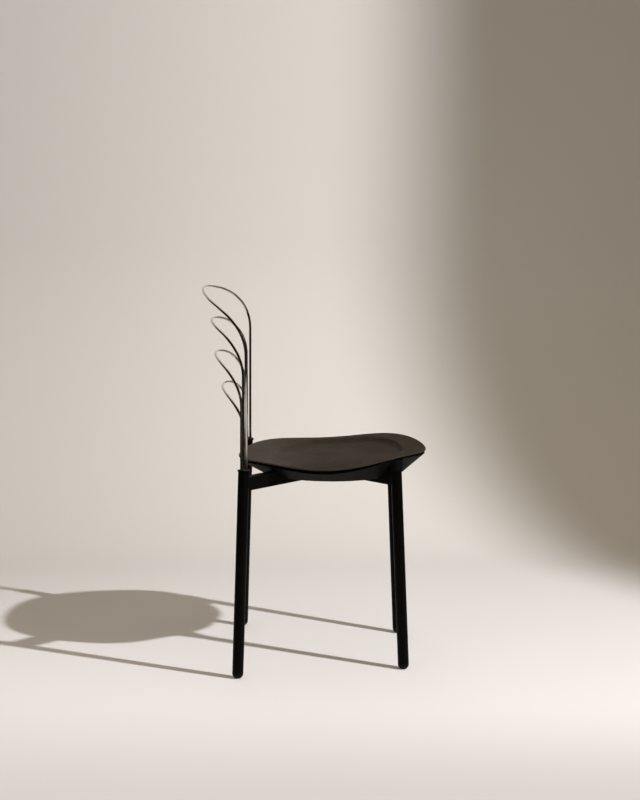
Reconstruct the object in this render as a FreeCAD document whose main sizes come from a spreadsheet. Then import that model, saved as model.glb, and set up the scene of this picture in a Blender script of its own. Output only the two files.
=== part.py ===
"""Dining chair with a round dished seat, four tube legs and a back of four bent wire hoops.

Millimetres. +X points to the front of the seat, +Y to the sitter's left and +Z up.
The origin is on the floor, under the middle of the chair's overall box.
"""
import FreeCAD, Part
import math
import os
import Sketcher

Vector = FreeCAD.Vector
UP = Vector(0, 0, 1)

# Driving sizes. An inset is measured inwards from the seat's edge. A splay is how far a foot stands
# out from the top of its leg, and a spread how far a hoop reaches past the rear tubes' tops.
SIZES = {
    # Seat shell
    "seat_diameter": 430.0,
    "seat_tilt": 2.07,
    "rim_above_bars": 22.2,
    "rim_edge_thickness": 3.2,
    "rim_edge_round": 1.2,
    "front_corner_rise": 9.1,
    "rear_corner_rise": 5.9,
    "side_dip": 4.4,
    "dish_length_inset": 67.0,
    "dish_width_inset": 43.0,
    "dish_ahead": 8.0,
    "dish_wall_width": 17.0,
    "dish_depth": 7.5,
    "seat_base_radius": 75.0,
    "seat_base_blend": 60.0,
    # Leg tubes
    "leg_diameter": 25.0,
    "leg_wall": 1.5,
    "rear_top_back_inset": 16.0,
    "rear_top_side_inset": 6.0,
    "rear_top_above_bars": 13.0,
    "rear_splay_back": 15.0,
    "rear_splay_side": 37.0,
    "front_top_ahead_inset": 73.0,
    "front_top_side_inset": 67.0,
    "front_top_above_bars": 2.5,
    "front_splay_ahead": 18.0,
    "front_splay_side": 20.0,
    # Plugs that close the tubes
    "plug_clearance": 0.1,
    "glide_collar": 2.0,
    "glide_flat_depth": 1.0,
    "glide_shank_length": 18.0,
    "cap_flange_overhang": 1.75,
    "cap_flange_thickness": 3.5,
    "cap_shank_below_wires": 12.0,
    "pad_wall": 3.0,
    "pad_shank_length": 20.0,
    # Crossed bars
    "bar_top_height": 450.0,
    "bar_depth": 30.0,
    "bar_width": 20.0,
    "bar_wall": 2.0,
    # Plate on the crossing and its screws
    "plate_side": 116.0,
    "plate_thickness": 3.0,
    "plate_corner": 12.0,
    "screw_circle_radius": 44.0,
    "screw_diameter": 5.0,
    "screw_head_overhang": 2.25,
    "screw_head_height": 2.8,
    "screw_engagement": 5.0,
    "screw_clearance": 0.25,
    "hex_across_flats": 3.0,
    "hex_depth": 1.6,
    # Seat skirt
    "skirt_neck_inset": 9.0,
    "skirt_neck_height": 5.0,
    "skirt_neck_corner_height": 2.2,
    "skirt_shoulder_inset": 2.5,
    "skirt_shoulder_round": 1.5,
    "skirt_foot_inset": 48.0,
    "skirt_foot_below_bars": 18.2,
    "skirt_wall": 4.0,
    "seat_clearance": 0.3,
    "notch_clearance": 0.5,
    # Hoop wire and its four holes in each rear cap
    "wire_diameter": 5.6,
    "wire_clearance": 0.1,
    "wire_insertion": 12.0,
    "wire_straight": 8.0,
    "front_hole_ahead": 6.4,
    "side_hole_back": 1.2,
    "side_hole_offset": 6.6,
    "rear_hole_back": 5.4,
    # Tallest hoop: its bend starts this high above the rear tubes' tops
    "tallest_bend_rise": 263.5,
    "tallest_bend_radius": 110.5,
    "tallest_bend_angle": 60.5,
    "tallest_tail": 52.5,
    "tallest_spread": 37.0,
    "tallest_crown": 131.5,
    # Second hoop
    "second_bend_rise": 208.8,
    "second_bend_radius": 109.5,
    "second_bend_angle": 66.4,
    "second_tail": 10.5,
    "second_spread": -23.0,
    "second_crown": 112.0,
    # Third hoop
    "third_bend_rise": 141.5,
    "third_bend_radius": 102.8,
    "third_bend_angle": 65.3,
    "third_tail": 3.0,
    "third_spread": -26.0,
    "third_crown": 100.0,
    # Shortest hoop
    "shortest_bend_rise": 86.6,
    "shortest_bend_radius": 80.9,
    "shortest_bend_angle": 66.1,
    "shortest_tail": 3.5,
    "shortest_spread": -38.0,
    "shortest_crown": 73.5,
}

# Points round each ring of the skirt, and spacing of the grid that carries the seat's surfaces
RING_POINTS = 24
GRID_STEP = 9.0
GRID_REACH = 26

# Angles round the quarter ellipse of a hoop's crown where its arcs meet
CROWN_ANGLES = (30.0, 60.0)

doc = FreeCAD.newDocument("hoop_back_chair")
sheet = doc.addObject("Spreadsheet::Sheet", "Sizes")
for row, (alias, value) in enumerate(SIZES.items(), start=1):
    sheet.set("A%d" % row, alias)
    sheet.set("B%d" % row, str(value))
    sheet.setAlias("B%d" % row, alias)
doc.recompute()


def size(alias):
    """Value of one driving size, read from the sheet."""
    return float(sheet.get(alias))


def bind(obj, **expressions):
    """Bind properties of an object to the sheet."""
    for prop, expression in expressions.items():
        obj.setExpression(prop, expression)


def primitive(kind, name, **expressions):
    """A part primitive whose sizes follow the sheet."""
    obj = doc.addObject(kind, name)
    bind(obj, **expressions)
    return obj


def combined(kind, name, base, tool, label=None):
    """A cut, fuse or common of two objects."""
    obj = doc.addObject(kind, name)
    obj.Base = base
    obj.Tool = tool
    obj.Label = label or name
    return obj


def shape_feature(name, shape):
    """An object that holds a shape worked out below."""
    obj = doc.addObject("Part::Feature", name)
    obj.Shape = shape
    return obj


def origin_plane(body, role):
    """One of a body's own origin planes or axes."""
    return [item for item in body.Origin.OriginFeatures if item.Role == role][0]


def sketch_on(body, role, name):
    """An empty sketch on an origin plane of its body."""
    sketch = body.newObject("Sketcher::SketchObject", name)
    sketch.AttachmentSupport = [(origin_plane(body, role), "")]
    sketch.MapMode = "FlatFace"
    return sketch


def sketch_circle(sketch, name, diameter_expression, start_radius):
    """A circle about the sketch's origin whose diameter follows the sheet."""
    index = sketch.addGeometry(Part.Circle(Vector(0, 0, 0), UP, start_radius), False)
    sketch.addConstraint(Sketcher.Constraint("Coincident", index, 3, -1, 1))
    sketch.addConstraint(Sketcher.Constraint("Diameter", index, 2 * start_radius))
    sketch.renameConstraint(sketch.ConstraintCount - 1, name)
    sketch.setExpression("Constraints." + name, diameter_expression)


def sketch_rectangle(sketch, name, width_expression, height_expression, width, height):
    """A rectangle about the sketch's origin whose sides follow the sheet."""
    x, y = width / 2, height / 2
    corners = [Vector(-x, -y, 0), Vector(x, -y, 0), Vector(x, y, 0), Vector(-x, y, 0)]
    first = sketch.GeometryCount
    for start, end in zip(corners, corners[1:] + corners[:1]):
        sketch.addGeometry(Part.LineSegment(start, end), False)
    lines = [first, first + 1, first + 2, first + 3]
    for line, following in zip(lines, lines[1:] + lines[:1]):
        sketch.addConstraint(Sketcher.Constraint("Coincident", line, 2, following, 1))
    sketch.addConstraint(Sketcher.Constraint("Horizontal", lines[0]))
    sketch.addConstraint(Sketcher.Constraint("Horizontal", lines[2]))
    sketch.addConstraint(Sketcher.Constraint("Vertical", lines[1]))
    sketch.addConstraint(Sketcher.Constraint("Vertical", lines[3]))
    sketch.addConstraint(Sketcher.Constraint("Symmetric", lines[0], 1, lines[2], 1, -1, 1))
    for line, side, expression in ((lines[0], "_width", width_expression),
                                   (lines[1], "_height", height_expression)):
        length = width if side == "_width" else height
        sketch.addConstraint(Sketcher.Constraint("Distance", line, length))
        sketch.renameConstraint(sketch.ConstraintCount - 1, name + side)
        sketch.setExpression("Constraints." + name + side, expression)


def pad(body, sketch, name, length_expression, reverse=False):
    """Pad a sketch by a length that follows the sheet."""
    feature = body.newObject("PartDesign::Pad", name)
    feature.Profile = sketch
    feature.Reversed = reverse
    feature.setExpression("Length", length_expression)
    return feature


def rounded(body, name, radius_expression, chosen):
    """Round the edges of a body whose bounding boxes are chosen."""
    doc.recompute()
    base = body.Tip
    edges = []
    for index, edge in enumerate(base.Shape.Edges, start=1):
        if chosen(edge.BoundBox):
            edges.append("Edge%d" % index)
    feature = body.newObject("PartDesign::Fillet", name)
    feature.Base = (base, edges)
    feature.setExpression("Radius", radius_expression)


def along(start, end):
    """A placement at start whose Z axis points to end."""
    return FreeCAD.Placement(start, FreeCAD.Rotation(UP, end - start))


# Tops of the legs in plan, relative to the seat's centre, and heights that follow the bars
seat_radius = size("seat_diameter") / 2
rear_top_back = seat_radius - size("rear_top_back_inset")
rear_top_side = seat_radius - size("rear_top_side_inset")
rear_top_height = size("bar_top_height") + size("rear_top_above_bars")
front_top_ahead = seat_radius - size("front_top_ahead_inset")
front_top_side = seat_radius - size("front_top_side_inset")
front_top_height = size("bar_top_height") + size("front_top_above_bars")
rim_height = size("bar_top_height") + size("rim_above_bars")

# Each hoop with the place of its hole in the left cap: how far ahead and how far to the left
HOOPS = (
    ("tallest", size("front_hole_ahead"), 0.0),
    ("second", -size("side_hole_back"), size("side_hole_offset")),
    ("third", -size("rear_hole_back"), 0.0),
    ("shortest", -size("side_hole_back"), -size("side_hole_offset")),
)


def hoop_reach(hoop, ahead):
    """How far the rear of a hoop's wire lies behind the seat's centre."""
    turn = math.radians(size(hoop + "_bend_angle"))
    bend = size(hoop + "_bend_radius") * (1 - math.cos(turn))
    tail = size(hoop + "_tail") * math.sin(turn)
    return rear_top_back - ahead + bend + tail + size("wire_diameter") / 2


# The seat's centre stands this far ahead of the origin, which is under the middle of the box
seat_x = (max(hoop_reach(hoop, ahead) for hoop, ahead, side in HOOPS) - seat_radius) / 2


def place(ahead, side, height):
    """A point from its place in plan relative to the seat's centre."""
    return Vector(seat_x + ahead, side, height)


# Legs: each leans along the line from its foot on the floor to its top
LEGS = {}
for hand, sign in (("left", 1), ("right", -1)):
    LEGS["rear_" + hand] = (
        place(-rear_top_back - size("rear_splay_back"),
              sign * (rear_top_side + size("rear_splay_side")), 0),
        place(-rear_top_back, sign * rear_top_side, rear_top_height),
    )
    LEGS["front_" + hand] = (
        place(front_top_ahead + size("front_splay_ahead"),
              sign * (front_top_side + size("front_splay_side")), 0),
        place(front_top_ahead, sign * front_top_side, front_top_height),
    )


def leg_point(leg, height):
    """Point on a leg's axis at a height."""
    foot, top = LEGS[leg]
    return foot + (top - foot) * (height / top.z)


def leg_length(end):
    """Expression for the length of a front or rear leg's axis from the floor to its top."""
    if end == "rear":
        return ("sqrt(Sizes.rear_splay_back^2 + Sizes.rear_splay_side^2"
                " + (Sizes.bar_top_height + Sizes.rear_top_above_bars)^2)")
    return ("sqrt(Sizes.front_splay_ahead^2 + Sizes.front_splay_side^2"
            " + (Sizes.bar_top_height + Sizes.front_top_above_bars)^2)")


BORE = "Sizes.leg_diameter - 2 * Sizes.leg_wall"
SHANK = BORE + " - 2 * Sizes.plug_clearance"
# Height along a leg of the middle of its dome, and of the tube's lower end
DOME_CENTRE = "(Sizes.leg_diameter / 2 - Sizes.glide_flat_depth)"
TUBE_START = "(" + DOME_CENTRE + " + Sizes.glide_collar)"


def leg_tube(leg):
    """Round tube from the glide's collar to the top of the leg."""
    end = leg.split("_")[0]
    body = doc.addObject("PartDesign::Body", leg.replace("_", "_leg_"))
    sketch = sketch_on(body, "XY_Plane", body.Name + "_section")
    sketch_circle(sketch, "outer", "Sizes.leg_diameter", size("leg_diameter") / 2)
    sketch_circle(sketch, "bore", BORE, size("leg_diameter") / 2 - size("leg_wall"))
    pad(body, sketch, body.Name + "_pad", leg_length(end) + " - " + TUBE_START)
    foot, top = LEGS[leg]
    start = size("leg_diameter") / 2 - size("glide_flat_depth") + size("glide_collar")
    direction = (top - foot).normalize()
    body.Placement = along(foot + direction * start, top)
    return body


def leg_glide(leg):
    """Domed plug under a tube, cut flat where it stands on the floor."""
    name = leg.replace("_", "_glide_")
    dome = primitive("Part::Sphere", name + "_dome", Radius="Sizes.leg_diameter / 2")
    dome.Angle1 = -90
    dome.Angle2 = 0
    bind(dome, **{"Placement.Base.z": DOME_CENTRE})
    collar = primitive("Part::Cylinder", name + "_collar",
                       Radius="Sizes.leg_diameter / 2", Height="Sizes.glide_collar")
    bind(collar, **{"Placement.Base.z": DOME_CENTRE})
    shank = primitive("Part::Cylinder", name + "_shank", Radius="(" + SHANK + ") / 2",
                      Height="Sizes.glide_collar + Sizes.glide_shank_length")
    bind(shank, **{"Placement.Base.z": DOME_CENTRE})
    plug = doc.addObject("Part::MultiFuse", name + "_plug")
    plug.Shapes = [dome, collar, shank]
    plug.Placement = along(*LEGS[leg])
    floor = primitive("Part::Box", name + "_floor", Length="4 * Sizes.leg_diameter",
                      Width="4 * Sizes.leg_diameter", Height="Sizes.leg_diameter")
    reach = 2 * size("leg_diameter")
    corner = LEGS[leg][0] - Vector(reach, reach, size("leg_diameter"))
    floor.Placement = FreeCAD.Placement(corner, FreeCAD.Rotation())
    return combined("Part::Cut", name, plug, floor)


def tube_space(leg, name):
    """Solid space that a leg's tube takes up, for coping the bars against it."""
    space = primitive("Part::Cylinder", name, Radius="Sizes.leg_diameter / 2",
                      Height=leg_length(leg.split("_")[0]))
    space.Placement = along(*LEGS[leg])
    return space


# Crossed bars: they lie flat, their tops level, and point from leg to leg through one crossing
bar_axis_height = size("bar_top_height") - size("bar_depth") / 2
rear_end = leg_point("rear_left", bar_axis_height)
front_end = leg_point("front_right", bar_axis_height)
crossing_share = rear_end.y / (rear_end.y - front_end.y)
crossing = rear_end + (front_end - rear_end) * crossing_share


def flat_bar(name, start, end, cut_by):
    """Rectangular tube between two points of the bars' axis, coped by other objects."""
    body = doc.addObject("PartDesign::Body", name + "_stock")
    sketch = sketch_on(body, "XY_Plane", name + "_section")
    sketch_rectangle(sketch, "outer", "Sizes.bar_width", "Sizes.bar_depth",
                     size("bar_width"), size("bar_depth"))
    sketch_rectangle(sketch, "inner", "Sizes.bar_width - 2 * Sizes.bar_wall",
                     "Sizes.bar_depth - 2 * Sizes.bar_wall",
                     size("bar_width") - 2 * size("bar_wall"),
                     size("bar_depth") - 2 * size("bar_wall"))
    feature = body.newObject("PartDesign::Pad", name + "_pad")
    feature.Profile = sketch
    feature.Length = (end - start).Length
    heading = (end - start).normalize()
    across = UP.cross(heading)
    body.Placement = FreeCAD.Placement(start, FreeCAD.Rotation(across, UP, heading, "ZXY"))
    result = body
    for index, tool in enumerate(cut_by):
        last = index == len(cut_by) - 1
        result = combined("Part::Cut", name if last else name + "_coped", result, tool)
    return result


def crossed_frame():
    """One bar runs whole between two legs. The other two stop at its sides."""
    through = flat_bar("through_bar", rear_end, front_end,
                       [tube_space("rear_left", "rear_left_space"),
                        tube_space("front_right", "front_right_space")])
    whole = primitive("Part::Box", "through_bar_space", Length="Sizes.seat_diameter",
                      Width="Sizes.bar_width", Height="2 * Sizes.bar_depth")
    heading = (front_end - rear_end).normalize()
    turn = FreeCAD.Rotation(Vector(1, 0, 0), heading)
    corner = crossing + turn.multVec(Vector(-seat_radius, -size("bar_width") / 2, 0))
    whole.Placement = FreeCAD.Placement(corner - UP * size("bar_depth"), turn)
    mirrored_rear = Vector(rear_end.x, -rear_end.y, rear_end.z)
    mirrored_front = Vector(front_end.x, -front_end.y, front_end.z)
    rear = flat_bar("rear_half_bar", mirrored_rear, crossing,
                    [tube_space("rear_right", "rear_right_space"), whole])
    front = flat_bar("front_half_bar", crossing, mirrored_front,
                     [tube_space("front_left", "front_left_space"), whole])
    return [through, rear, front]


def hoop_holes(sign):
    """Places of the four wires in a rear cap, tallest hoop first."""
    top = LEGS["rear_left" if sign > 0 else "rear_right"][1]
    return [top + Vector(ahead, sign * side, 0) for hoop, ahead, side in HOOPS]


def rear_cap(hand, sign):
    """Flanged plug in a rear tube, with a blind upright hole for each wire."""
    name = "rear_cap_" + hand
    body = doc.addObject("PartDesign::Body", name + "_plug")
    flange_sketch = sketch_on(body, "XY_Plane", name + "_flange_sketch")
    sketch_circle(flange_sketch, "flange", "Sizes.leg_diameter + 2 * Sizes.cap_flange_overhang",
                  size("leg_diameter") / 2 + size("cap_flange_overhang"))
    flange = pad(body, flange_sketch, name + "_flange", "Sizes.cap_flange_thickness")
    shank_sketch = sketch_on(body, "XY_Plane", name + "_shank_sketch")
    sketch_circle(shank_sketch, "shank", SHANK, size("leg_diameter") / 2 - size("leg_wall"))
    pad(body, shank_sketch, name + "_shank",
        "Sizes.wire_insertion + Sizes.cap_shank_below_wires", reverse=True)
    rounded(body, name + "_rounding", "Sizes.cap_flange_thickness * 0.35",
            lambda box: box.ZMin > size("cap_flange_thickness") - 0.01)
    foot, top = LEGS["rear_" + hand]
    body.Placement = along(top, top + (top - foot))
    drills = []
    for index, hole in enumerate(hoop_holes(sign)):
        drill = primitive("Part::Cylinder", "%s_drill_%d" % (name, index + 1),
                          Radius="Sizes.wire_diameter / 2 + Sizes.wire_clearance",
                          Height="Sizes.wire_insertion + 4 * Sizes.cap_flange_thickness")
        bottom = hole - UP * (size("wire_insertion") + size("wire_clearance"))
        drill.Placement = FreeCAD.Placement(bottom, FreeCAD.Rotation())
        drills.append(drill)
    holes = doc.addObject("Part::MultiFuse", name + "_drills")
    holes.Shapes = drills
    return combined("Part::Cut", name, body, holes)


# Seat surface: a tilted plane whose rim rises at four corners, with a dish pressed into it
tilt_rise = math.tan(math.radians(size("seat_tilt")))
front_rise = size("front_corner_rise")
rear_rise = size("rear_corner_rise")
side_fall = size("side_dip")
lobe_mean = (front_rise + rear_rise) / 4 - side_fall / 4
lobe_four = lobe_mean - (front_rise + rear_rise) / 2
lobe_odd = (front_rise - rear_rise) / (4 * math.cos(math.pi / 4))
seat_base = size("bar_top_height") + size("plate_thickness") + size("seat_clearance")
neck_radius = seat_radius - size("skirt_neck_inset")


def lobe(angle):
    """Rise of the rim above its plane, at an angle from the front."""
    odd = lobe_odd * (math.cos(angle) - math.cos(3 * angle))
    even = side_fall / 2 * math.cos(2 * angle)
    return lobe_mean + odd + even + lobe_four * math.cos(4 * angle)


def ease(share):
    """Smooth step from nought to one."""
    share = min(max(share, 0.0), 1.0)
    return share * share * (3 - 2 * share)


def rim_surface(x, y):
    """Height of the seat's top without its dish, from a place relative to the seat's centre."""
    share = (math.hypot(x, y) / seat_radius) ** 3
    return rim_height + tilt_rise * x + share * lobe(math.atan2(y, x))


def dish(x, y):
    """Share of the dish's depth at a place, from one on its floor to nought past its wall."""
    half_length = seat_radius - size("dish_length_inset")
    half_width = seat_radius - size("dish_width_inset")
    across = (x - size("dish_ahead")) / half_length
    distance = (math.hypot(across, y / half_width) - 1) * (half_length + half_width) / 2
    return 1 - ease(distance / size("dish_wall_width") + 0.5)


def top_height(x, y):
    """Height of the seat's top."""
    return rim_surface(x, y) - size("dish_depth") * dish(x, y)


def under_height(x, y):
    """Height of the seat's underside, level in the middle where it rests on the plate."""
    outside = ease((math.hypot(x, y) - size("seat_base_radius")) / size("seat_base_blend"))
    follow = rim_surface(x, y) - size("rim_edge_thickness") - size("dish_depth") * dish(x, y)
    return seat_base + (follow - seat_base) * outside


def height_sheet(name, height):
    """Smooth sheet through a grid of heights over the seat."""
    places = [GRID_STEP * step for step in range(-GRID_REACH, GRID_REACH + 1)]
    points = [[place(x, y, height(x, y)) for y in places] for x in places]
    surface = Part.BSplineSurface()
    surface.interpolate(points)
    return shape_feature(name, surface.toShape())


def extruded(name, base, direction):
    """Solid between a sheet and its copy a seat's radius away."""
    feature = doc.addObject("Part::Extrusion", name)
    feature.Base = base
    feature.DirMode = "Custom"
    feature.Dir = direction
    feature.LengthFwd = seat_radius
    feature.Solid = True
    return feature


def seat_shell():
    """Round shell between the top and the underside, with a rounded rim and screw holes."""
    below = extruded("seat_below_top", height_sheet("seat_top_sheet", top_height), -UP)
    above = extruded("seat_above_under", height_sheet("seat_under_sheet", under_height), UP)
    round_space = primitive("Part::Cylinder", "seat_round", Radius="Sizes.seat_diameter / 2",
                            Height="Sizes.bar_top_height")
    round_space.Placement = FreeCAD.Placement(place(0, 0, seat_radius), FreeCAD.Rotation())
    shell = doc.addObject("Part::MultiCommon", "seat_blank")
    shell.Shapes = [round_space, below, above]
    doc.recompute()
    rim_edges = []
    for index, edge in enumerate(shell.Shape.Edges, start=1):
        middle = edge.valueAt((edge.FirstParameter + edge.LastParameter) / 2) - place(0, 0, 0)
        if math.hypot(middle.x, middle.y) > seat_radius - 0.5 and edge.BoundBox.DiagonalLength > 20:
            rim_edges.append((index, size("rim_edge_round"), size("rim_edge_round")))
    rim = doc.addObject("Part::Fillet", "seat_rim")
    rim.Base = shell
    rim.Edges = rim_edges
    drills = doc.addObject("Part::MultiFuse", "seat_drills")
    drills.Shapes = [screw_space(index) for index in range(4)]
    return combined("Part::Cut", "seat_shell", rim, drills)


def screw_place(index):
    """Place of a seat screw in plan: they stand between the bars."""
    angle = math.pi / 2 * index
    radius = size("screw_circle_radius")
    return crossing + Vector(radius * math.cos(angle), radius * math.sin(angle), 0)


def screw_space(index):
    """Hole for one seat screw, through the plate and into the shell."""
    hole = primitive("Part::Cylinder", "screw_hole_%d" % (index + 1),
                     Radius="Sizes.screw_diameter / 2 + Sizes.screw_clearance",
                     Height="Sizes.plate_thickness + Sizes.seat_clearance"
                            " + Sizes.screw_engagement + Sizes.screw_clearance")
    spot = screw_place(index)
    spot.z = size("bar_top_height")
    hole.Placement = FreeCAD.Placement(spot, FreeCAD.Rotation())
    return hole


def mount_plate():
    """Square plate on the crossing, drilled for the seat screws."""
    body = doc.addObject("PartDesign::Body", "mount_plate_blank")
    sketch = sketch_on(body, "XY_Plane", "mount_plate_outline")
    sketch_rectangle(sketch, "plate", "Sizes.plate_side", "Sizes.plate_side",
                     size("plate_side"), size("plate_side"))
    pad(body, sketch, "mount_plate_pad", "Sizes.plate_thickness")
    rounded(body, "mount_plate_corners", "Sizes.plate_corner",
            lambda box: box.ZLength > size("plate_thickness") / 2)
    spot = Vector(crossing.x, crossing.y, size("bar_top_height"))
    body.Placement = FreeCAD.Placement(spot, FreeCAD.Rotation())
    holes = doc.addObject("Part::MultiFuse", "mount_plate_drills")
    holes.Shapes = [doc.getObject("screw_hole_%d" % number) for number in (1, 2, 3, 4)]
    return combined("Part::Cut", "mount_plate", body, holes)


def seat_screws():
    """Four round-headed screws under the plate, each with a hexagon socket."""
    radius = size("screw_diameter") / 2
    head_radius = size("screw_diameter") / 2 + size("screw_head_overhang")
    head_height = size("screw_head_height")
    length = size("plate_thickness") + size("seat_clearance") + size("screw_engagement")
    dome_height = head_height * 0.75
    dome_radius = (head_radius ** 2 + dome_height ** 2) / (2 * dome_height)
    solids = []
    for index in range(4):
        spot = screw_place(index)
        spot.z = size("bar_top_height")
        head = Part.makeCylinder(head_radius, head_height, spot - UP * head_height)
        dome = Part.makeSphere(dome_radius, spot + UP * (dome_radius - head_height))
        shank = Part.makeCylinder(radius, length + head_height / 2, spot - UP * (head_height / 2))
        corners = []
        for corner in range(7):
            turn = math.pi / 3 * corner
            reach = size("hex_across_flats") / math.sqrt(3)
            corners.append(spot + Vector(reach * math.cos(turn), reach * math.sin(turn), -head_height))
        socket = Part.Face(Part.makePolygon(corners)).extrude(UP * size("hex_depth"))
        solids.append(head.common(dome).fuse(shank).cut(socket).removeSplitter().Solids[0])
    return shape_feature("seat_screws", Part.makeCompound(solids))


def front_pad(hand, sign):
    """Collar on a front tube that carries the seat's rim, with a shank in the tube."""
    name = "front_pad_" + hand
    foot, top = LEGS["front_" + hand]
    lean = (top - foot).normalize()
    radius = size("leg_diameter") / 2 + size("pad_wall")
    ahead = top.x - seat_x
    under = min(rim_surface(ahead - radius, top.y), rim_surface(ahead, top.y - sign * radius))
    head = primitive("Part::Cylinder", name + "_head",
                     Radius="Sizes.leg_diameter / 2 + Sizes.pad_wall", Height="4 * Sizes.leg_diameter")
    shank = primitive("Part::Cylinder", name + "_shank", Radius="(" + SHANK + ") / 2",
                      Height="Sizes.pad_shank_length + Sizes.plate_thickness")
    bind(shank, **{"Placement.Base.z": "-Sizes.pad_shank_length"})
    plug = doc.addObject("Part::MultiFuse", name + "_plug")
    plug.Shapes = [head, shank]
    plug.Placement = along(top, top + lean)
    trim = primitive("Part::Box", name + "_trim", Length="8 * Sizes.leg_diameter",
                     Width="8 * Sizes.leg_diameter", Height="8 * Sizes.leg_diameter")
    reach = 4 * size("leg_diameter")
    cut_height = under - size("rim_edge_thickness") - size("seat_clearance")
    corner = Vector(top.x - reach, top.y - reach, cut_height)
    trim.Placement = FreeCAD.Placement(corner, FreeCAD.Rotation())
    return combined("Part::Cut", name, plug, trim)


def ring(radius, height):
    """Closed smooth wire about the seat's centre whose height is a function of its place."""
    points = []
    for step in range(RING_POINTS):
        angle = 2 * math.pi * step / RING_POINTS
        x, y = radius * math.cos(angle), radius * math.sin(angle)
        points.append(place(x, y, height(x, y)))
    curve = Part.BSplineCurve()
    curve.interpolate(points, PeriodicFlag=True)
    return Part.Wire([curve.toShape()])


def ring_below(radius, drop):
    """Ring that keeps a drop below the seat's top."""
    return ring(radius, lambda x, y: rim_surface(x, y) - drop)


def shoulder_ring(radius, drop):
    """Ring below the skirt's neck, which is tallest at the sides and lowest at the front corners."""
    taper = (size("skirt_neck_height") - size("skirt_neck_corner_height")) / front_rise

    def height(x, y):
        rise = lobe(math.atan2(y, x)) * (radius / seat_radius) ** 3
        return rim_surface(x, y) + taper * rise - drop

    return ring(radius, height)


def level_ring(radius, height):
    """Level round ring."""
    return ring(radius, lambda x, y: height)


def closed_solid(faces):
    """Solid inside faces that meet at their edges."""
    shell = Part.makeShell(faces)
    shell.sewShape()
    solid = Part.makeSolid(shell)
    if solid.Volume < 0:
        solid.reverse()
    return solid


def seat_skirt():
    """Conical ring under the shell, necked at the top and notched for bars and pads."""
    under = size("rim_edge_thickness") + size("seat_clearance")
    neck_foot = under + size("skirt_neck_height")
    rounding = size("skirt_shoulder_round")
    shoulder = seat_radius - size("skirt_shoulder_inset")
    foot = seat_radius - size("skirt_foot_inset")
    foot_height = size("bar_top_height") - size("skirt_foot_below_bars")
    wall = size("skirt_wall")
    rings = [
        ring_below(neck_radius - wall, under),
        ring_below(neck_radius, under),
        shoulder_ring(neck_radius, neck_foot),
        shoulder_ring(shoulder - rounding, neck_foot),
        shoulder_ring(shoulder, neck_foot + rounding),
        level_ring(foot, foot_height),
        level_ring(foot - wall, foot_height),
        shoulder_ring(shoulder - rounding - wall, neck_foot + rounding),
    ]
    faces = []
    for first, second in zip(rings, rings[1:] + rings[:1]):
        faces.extend(Part.makeRuledSurface(first, second).Faces)
    blank = shape_feature("skirt_blank", closed_solid(faces))
    gap = size("notch_clearance")
    notches = []
    for end in (rear_end, Vector(rear_end.x, -rear_end.y, rear_end.z),
                front_end, Vector(front_end.x, -front_end.y, front_end.z)):
        heading = (end - crossing).normalize()
        turn = FreeCAD.Rotation(Vector(1, 0, 0), heading)
        notch = primitive("Part::Box", "bar_notch_%d" % (len(notches) + 1),
                          Length="Sizes.seat_diameter / 2 + Sizes.bar_depth",
                          Width="Sizes.bar_width + 2 * Sizes.notch_clearance",
                          Height="2 * Sizes.bar_depth")
        corner = crossing + turn.multVec(Vector(0, -size("bar_width") / 2 - gap, 0))
        corner.z = size("bar_top_height") + gap - 2 * size("bar_depth")
        notch.Placement = FreeCAD.Placement(corner, turn)
        notches.append(notch)
    for hand in ("left", "right"):
        space = primitive("Part::Cylinder", "pad_notch_" + hand,
                          Radius="Sizes.leg_diameter / 2 + Sizes.pad_wall + Sizes.notch_clearance",
                          Height="3 * Sizes.bar_depth")
        foot_point, top = LEGS["front_" + hand]
        lean = (top - foot_point).normalize()
        space.Placement = along(top - lean * (2 * size("bar_depth")), top)
        notches.append(space)
    tools = doc.addObject("Part::MultiFuse", "skirt_notches")
    tools.Shapes = notches
    return combined("Part::Cut", "seat_skirt", blank, tools)


# Hoops: each is a flat bent outline, rolled backwards over a cylinder that lies across the chair
def rolled(hoop, hole, half, length):
    """Point of a hoop from its half width and its length above the start of the bend."""
    radius = size(hoop + "_bend_radius")
    turn = math.radians(size(hoop + "_bend_angle"))
    angle = min(max(length / radius, 0), turn)
    past = max(length - radius * turn, 0) + min(length, 0)
    back = radius * (1 - math.cos(angle)) + past * math.sin(angle)
    rise = radius * math.sin(angle) + past * math.cos(angle)
    return Vector(hole.x - back, half, rear_top_height + size(hoop + "_bend_rise") + rise)


def rolled_direction(hoop, length, across, upward):
    """Direction of a hoop's wire from its direction in the flat outline."""
    turn = math.radians(size(hoop + "_bend_angle"))
    angle = min(max(length / size(hoop + "_bend_radius"), 0), turn)
    return Vector(-upward * math.sin(angle), across, upward * math.cos(angle)).normalize()


def arc_between(start, corner, end):
    """Arc from start to end whose tangents meet at a corner as far from both."""
    middle = (start + end) / 2
    half_chord = (end - start).Length / 2
    cosine = min(half_chord / (corner - start).Length, 1.0)
    half_turn = math.acos(cosine)
    if half_turn < 1e-4:
        return Part.LineSegment(start, end).toShape()
    share = math.cos(half_turn) * math.tan(half_turn / 2) / math.sin(half_turn)
    return Part.Arc(start, middle + (corner - middle) * share, end).toShape()


def tangent_arcs(start, start_direction, end, end_direction):
    """Two arcs that join two points and follow the direction given at each."""
    span = end - start
    total = start_direction + end_direction
    spread = 2 * (1 - start_direction.dot(end_direction))
    along_span = span.dot(total)
    if spread < 1e-9:
        reach = span.dot(span) / (2 * along_span)
    else:
        reach = (math.sqrt(along_span ** 2 + spread * span.dot(span)) - along_span) / spread
    first = start + start_direction * reach
    second = end - end_direction * reach
    joint = (first + second) / 2
    return [arc_between(start, first, joint), arc_between(joint, second, end)]


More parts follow.
